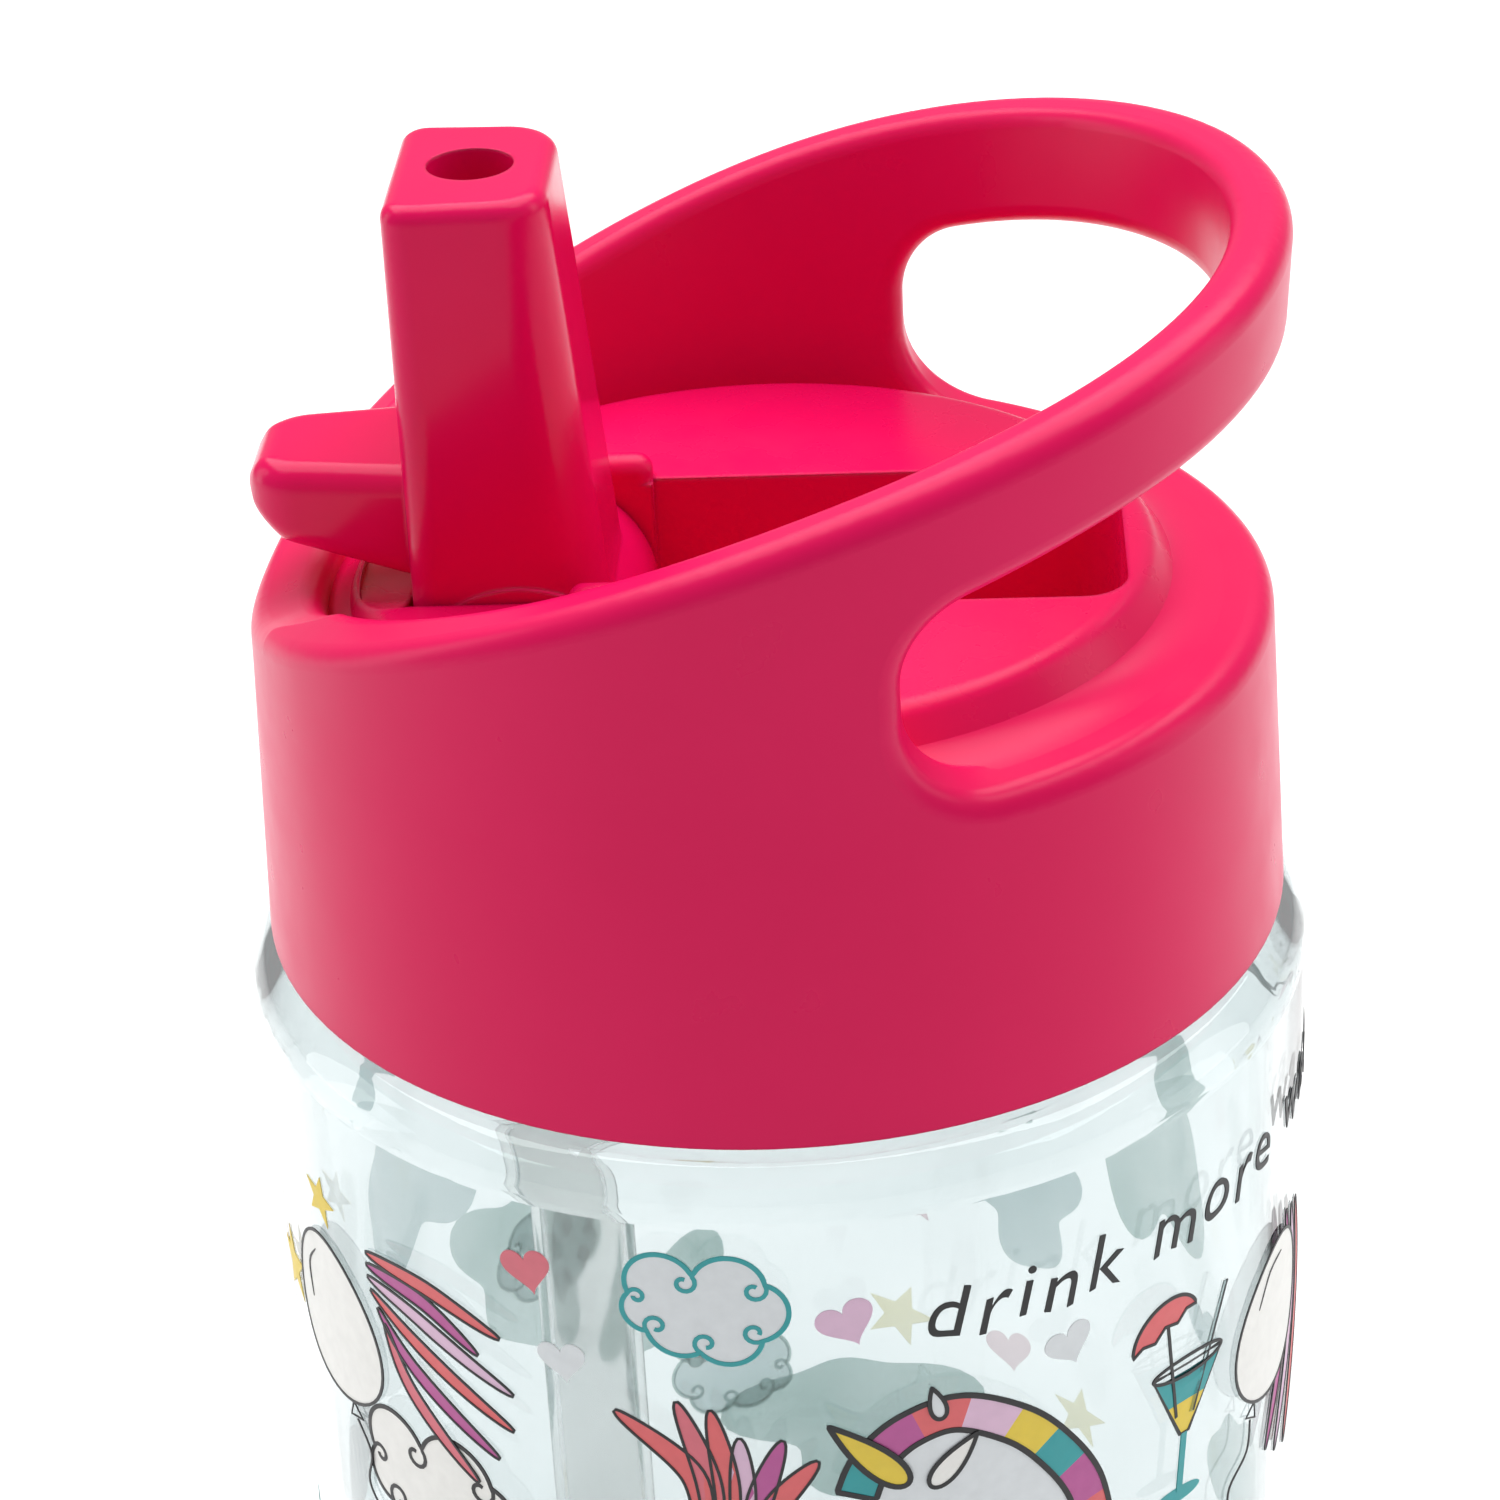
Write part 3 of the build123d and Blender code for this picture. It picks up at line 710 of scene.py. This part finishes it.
# see-through patches on the far side, which show softly through the clear wall
for k, (degrees, z, width, height) in enumerate(
    [
        (-118, -36, 15, 18),
        (-138, -52, 13, 17),
        (128, -38, 13, 20),
        (150, -50, 10, 12),
        (175, -76, 20, 15),
        (-160, -62, 12, 12),
        (-92, -52, 12, 15),
        (100, -62, 14, 16),
    ]
):
    patch(f"print_patch_{k}", degrees, z, width, height, "sea" if k % 3 else "mist")
star("print_star_green", 169, -64.5, 6.5, 20, "sun")
heart("print_heart_back", 153, -66, 4.5, -10, "blush")

# the same motifs all round the rest of the bottle, in staggered rows
ROW_HEIGHTS = (-52.0, -70.0, -88.0, -106.0)
ROW_COUNT = 7
FIRST_FAR = 4           # the motifs from here on show through the bottle, so they are washes
NEAR_INKS = ("coral", "magenta", "lilac", "teal", "yellow", "rose")
FAR_INKS = ("sea", "mist", "blush", "sun")
for row, z in enumerate(ROW_HEIGHTS):
    for k in range(ROW_COUNT):
        degrees = -90 + (k + 0.5 * (row % 2)) * 360 / ROW_COUNT
        where = f"{row}_{k}"
        tilt = random.uniform(-20, 20)
        far = k >= FIRST_FAR
        colour = random.choice(FAR_INKS if far else NEAR_INKS)
        if (row + k) % 3 == 0:
            cloud(f"print_cloud_{where}", degrees, z, 1.0, tilt, *(("mist", "sea") if far else ()))
        elif (row + k) % 3 == 1:
            heart(f"print_heart_{where}", degrees, z, 5.0, tilt, colour)
        else:
            star(f"print_star_{where}", degrees, z, 6.0, tilt, colour)
for k, degrees in enumerate((105, 140, 175, -150, -115)):
    colour = ("blush", "mist", "blush")[k % 3]
    heart(f"print_heart_top_{k}", degrees, -14 - 5 * (k % 2), 3.8, 12 * (-1) ** k, colour)
for k, degrees in enumerate((122, 158, -168, -132, -96)):
    colour = ("sun", "sea")[k % 2]
    star(f"print_star_top_{k}", degrees, -20 - 6 * (k % 2), 5.0, 9 * k, colour)


# ------------------------------------------------------------------ seam of the lid
RING_BELOW_DECK_BOX = 5.0   # from the top of the deck's ears down to the flat ring
SEAM_STEPS = 180            # round the lid
SEAM_CURVE = 14             # along the hollow


def add_seam():
    """The soft hollow where the deck's sloping edge runs out on to the flat ring, turned about Z."""
    ring_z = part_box("lid_deck")[1].z / MM - RING_BELOW_DECK_BOX
    start = (26.6, ring_z + 1.75)
    bend = (27.9, ring_z + 0.02)
    end = (31.6, ring_z - 0.03)
    hollow = []
    for k in range(SEAM_CURVE + 1):
        t = k / SEAM_CURVE
        weights = ((1 - t) ** 2, 2 * t * (1 - t), t * t)
        hollow.append(tuple(sum(w * p for w, p in zip(weights, axis)) for axis in zip(start, bend, end)))
    profile = hollow + [(31.4, ring_z - 0.5), (28.9, ring_z - 1.3), (27.0, ring_z - 0.9)]
    verts = []
    for k in range(SEAM_STEPS):
        angle = 2 * math.pi * k / SEAM_STEPS
        verts += [(r * MM * math.cos(angle), r * MM * math.sin(angle), z * MM) for r, z in profile]
    count = len(profile)
    faces = []
    for k in range(SEAM_STEPS):
        a = k * count
        b = (k + 1) % SEAM_STEPS * count
        faces += [(a + (i + 1) % count, a + i, b + i, b + (i + 1) % count) for i in range(count)]
    mesh = bpy.data.meshes.new("lid_seam")
    mesh.from_pydata(verts, [], faces)
    mesh.polygons.foreach_set("use_smooth", [f % count < len(hollow) - 1 for f in range(len(faces))])
    mesh.materials.append(satin_pink)
    piece = bpy.data.objects.new("lid_seam", mesh)
    bpy.context.scene.collection.objects.link(piece)
    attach(piece, "lid")


add_seam()


# ------------------------------------------------------------------ camera
CAMERA_DISTANCE = 0.286
CAMERA_UP = math.radians(30.25)
CAMERA_ROUND = math.radians(3.15)
CAMERA_ROLL = math.radians(-2.9)
LENS = 98.6


def add_camera():
    """Three-quarter view from above, a little to the right of the front."""
    flat = math.cos(CAMERA_UP)
    back = Vector((math.sin(CAMERA_ROUND) * flat, -math.cos(CAMERA_ROUND) * flat, math.sin(CAMERA_UP)))
    right = Vector((0, 0, 1)).cross(back).normalized()
    up = back.cross(right)
    rolled_right = right * math.cos(CAMERA_ROLL) + up * math.sin(CAMERA_ROLL)
    rolled_up = up * math.cos(CAMERA_ROLL) - right * math.sin(CAMERA_ROLL)
    data = bpy.data.cameras.new("camera")
    data.lens = LENS
    data.sensor_width = 36
    data.shift_x = -0.0171
    data.shift_y = 0.0767
    data.clip_start = 0.01
    camera = bpy.data.objects.new("camera", data)
    bpy.context.scene.collection.objects.link(camera)
    turn = Matrix((rolled_right, rolled_up, back)).transposed().to_4x4()
    camera.matrix_world = Matrix.Translation(Vector((0, 0, RIM_Z * MM)) + back * CAMERA_DISTANCE) @ turn
    bpy.context.scene.camera = camera


# ------------------------------------------------------------------ floor and light
FLOOR_HALF = 3.0


def add_floor():
    """A plain white table top."""
    corners = [(x * FLOOR_HALF, y * FLOOR_HALF, 0) for x, y in ((-1, -1), (1, -1), (1, 1), (-1, 1))]
    mesh = bpy.data.meshes.new("floor")
    mesh.from_pydata(corners, [], [(0, 1, 2, 3)])
    material, nodes, links, shader = new_material("floor_white")
    shade = spread(nodes, links, noise(nodes, links, 4, 2), 0, 1)
    white = blend_colour(nodes, links, shade, (0.90, 0.90, 0.90), (0.93, 0.93, 0.93))
    links.new(white, shader.inputs["Base Color"])
    shader.inputs["Roughness"].default_value = 0.9
    mesh.materials.append(material)
    floor = bpy.data.objects.new("floor", mesh)
    bpy.context.scene.collection.objects.link(floor)


def softbox(name, place, aim, width, height, power):
    """A rectangular area light that faces a point."""
    data = bpy.data.lights.new(name, "AREA")
    data.shape = "RECTANGLE"
    data.size = width
    data.size_y = height
    data.energy = power
    light = bpy.data.objects.new(name, data)
    bpy.context.scene.collection.objects.link(light)
    light.location = place
    light.rotation_euler = (Vector(aim) - Vector(place)).to_track_quat("-Z", "Y").to_euler()


def add_world(strength):
    world = bpy.data.worlds.new("studio")
    world.use_nodes = True
    world.node_tree.nodes["Background"].inputs["Color"].default_value = (1, 1, 1, 1)
    world.node_tree.nodes["Background"].inputs["Strength"].default_value = strength
    bpy.context.scene.world = world


add_camera()
add_floor()
add_world(0.38)
softbox("top", (0, 0.55, 1.4), (0, 0.25, 0), 2.2, 1.5, 36)
softbox("left", (-0.9, 0.15, 0.35), (0, 0, 0.12), 0.3, 0.7, 1.2)
softbox("right", (0.9, 0.15, 0.35), (0, 0, 0.12), 0.3, 0.7, 1.0)
bpy.context.scene.view_settings.view_transform = "Standard"
